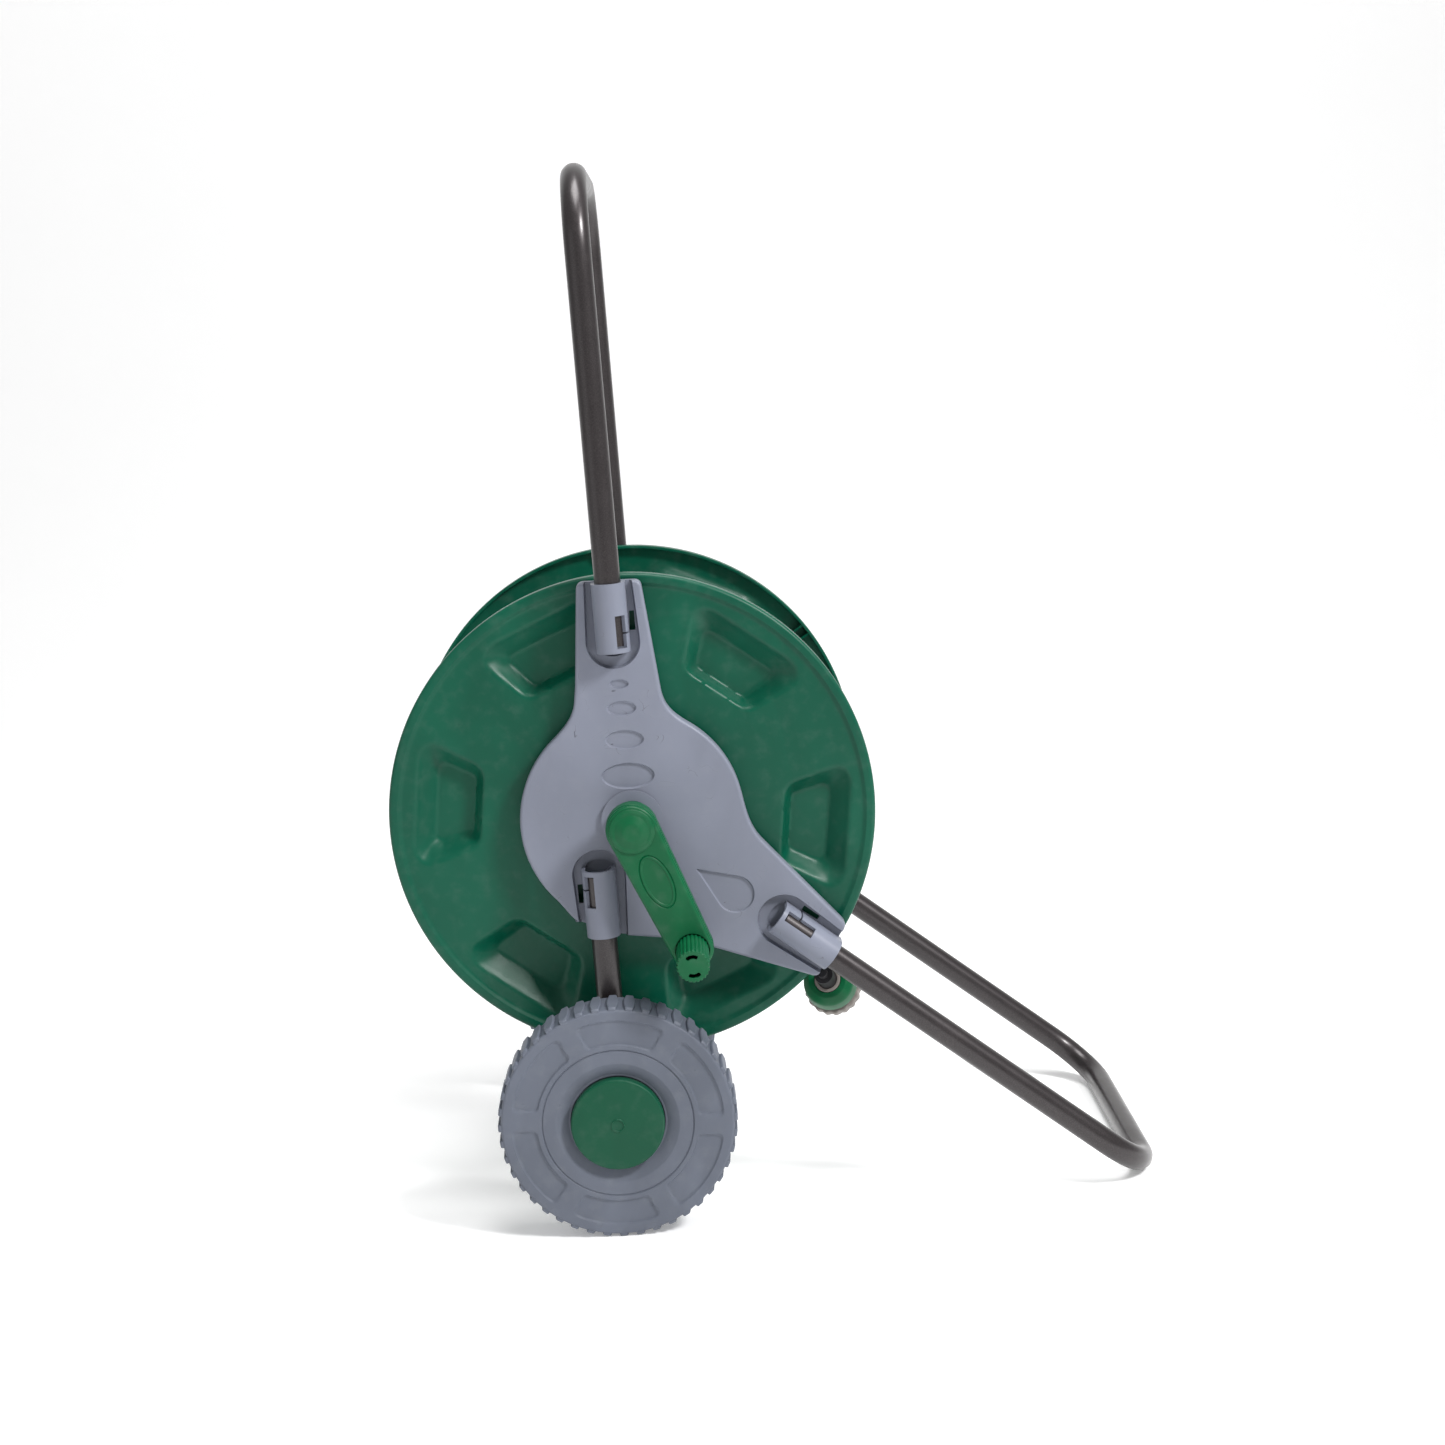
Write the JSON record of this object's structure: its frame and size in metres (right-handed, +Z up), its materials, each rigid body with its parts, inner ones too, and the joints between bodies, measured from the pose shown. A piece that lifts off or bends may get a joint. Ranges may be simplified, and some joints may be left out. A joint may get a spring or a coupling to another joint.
{
  "type": "garden hose reel cart",
  "caption": "Wheeled garden hose cart: moulded flanged drum with a hand crank between side plates, bent tube handle and rear stand, swivel water inlet.",
  "frame": {"origin": "on the ground, under the centre of the cart's bounding box", "axes": "+X points from the reel towards the foot of the stand, the crank is on the -Y side with the reel axis along Y, +Z is up"},
  "size_m": [0.5978, 0.404, 0.8156],
  "materials": {
    "flange_green": "satin moulded polypropylene",
    "crank_green": "satin moulded polypropylene, a little brighter",
    "cap_green": "satin moulded polypropylene",
    "plate_grey": "satin moulded polypropylene, blue grey",
    "wheel_grey": "matt moulded plastic, blue grey",
    "tube_bronze": "semi-gloss dark bronze powder coat",
    "steel": "zinc plated",
    "black_plastic": "satin black moulding",
    "connector_grey": "matt warm grey moulding",
    "seal_rubber": "matt black rubber"
  },
  "bodies": {
    "frame": {"axle_push_nuts": "steel", "axle_rod": "steel", "axle_washers": "steel", "bearing_bush_crank": "plate_grey", "bearing_bush_inlet": "plate_grey", "connector_body": "connector_grey", "connector_nut": "connector_grey", "connector_seal": "seal_rubber", "connector_spring": "steel", "handle_tube": "tube_bronze", "leg_plug_crank": "black_plastic", "leg_plug_inlet": "black_plastic", "parking_spigot": "black_plastic", "side_plate_crank": "plate_grey", "side_plate_inlet": "plate_grey", "stand_tube": "tube_bronze", "thrust_washer_crank": "black_plastic", "thrust_washer_inlet": "black_plastic", "wheel_leg_crank": "tube_bronze", "wheel_leg_inlet": "tube_bronze"},
    "drum": {"flange_crank": "flange_green", "flange_inlet": "flange_green", "core_panel_top": "flange_green", "core_panel_bottom": "flange_green", "core_panel_front": "flange_green", "core_panel_back": "flange_green", "drum_screws_crank": "steel", "drum_screws_inlet": "steel", "journal_clip": "steel", "crank_arm": "crank_green", "crank_screw": "steel", "crank_cover": "crank_green", "knob_spindle": "steel", "outlet_elbow": "black_plastic", "outlet_o_ring": "seal_rubber", "hose_tail": "black_plastic"},
    "knob": {"crank_knob": "crank_green"},
    "wheel_near": {"wheel_crank": "wheel_grey", "hub_cap_crank": "cap_green"},
    "wheel_far": {"wheel_inlet": "wheel_grey", "hub_cap_inlet": "cap_green"},
    "inlet": {"inlet_elbow": "crank_green", "inlet_o_rings": "seal_rubber", "inlet_nipple": "black_plastic", "nipple_seal": "seal_rubber"},
    "sleeve": {"connector_sleeve": "crank_green"}
  },
  "joints": [
    {"name": "drum_spin", "type": "hinge", "parent": "frame", "child": "drum", "pos_m": [-0.10888, 0.01, 0.316], "axis": [0, 1, 0], "continuous": true},
    {"name": "knob_spin", "type": "hinge", "parent": "drum", "child": "knob", "pos_m": [-0.06724, -0.18, 0.2207], "axis": [0, 1, 0], "continuous": true},
    {"name": "near_wheel_spin", "type": "hinge", "parent": "frame", "child": "wheel_near", "pos_m": [-0.13067, 0.01, 0.092], "axis": [0, 1, 0], "continuous": true},
    {"name": "far_wheel_spin", "type": "hinge", "parent": "frame", "child": "wheel_far", "pos_m": [-0.13067, 0.01, 0.092], "axis": [0, 1, 0], "continuous": true},
    {"name": "inlet_swivel", "type": "hinge", "parent": "frame", "child": "inlet", "pos_m": [-0.10888, 0.01, 0.316], "axis": [0, 1, 0], "continuous": true},
    {"name": "sleeve_slide", "type": "slide", "parent": "frame", "child": "sleeve", "axis": [0.2196, 0.8383, -0.499], "range_m": [0, 0.004], "stiffness_N_per_m": 600, "springref_m": -0.003}
  ]
}
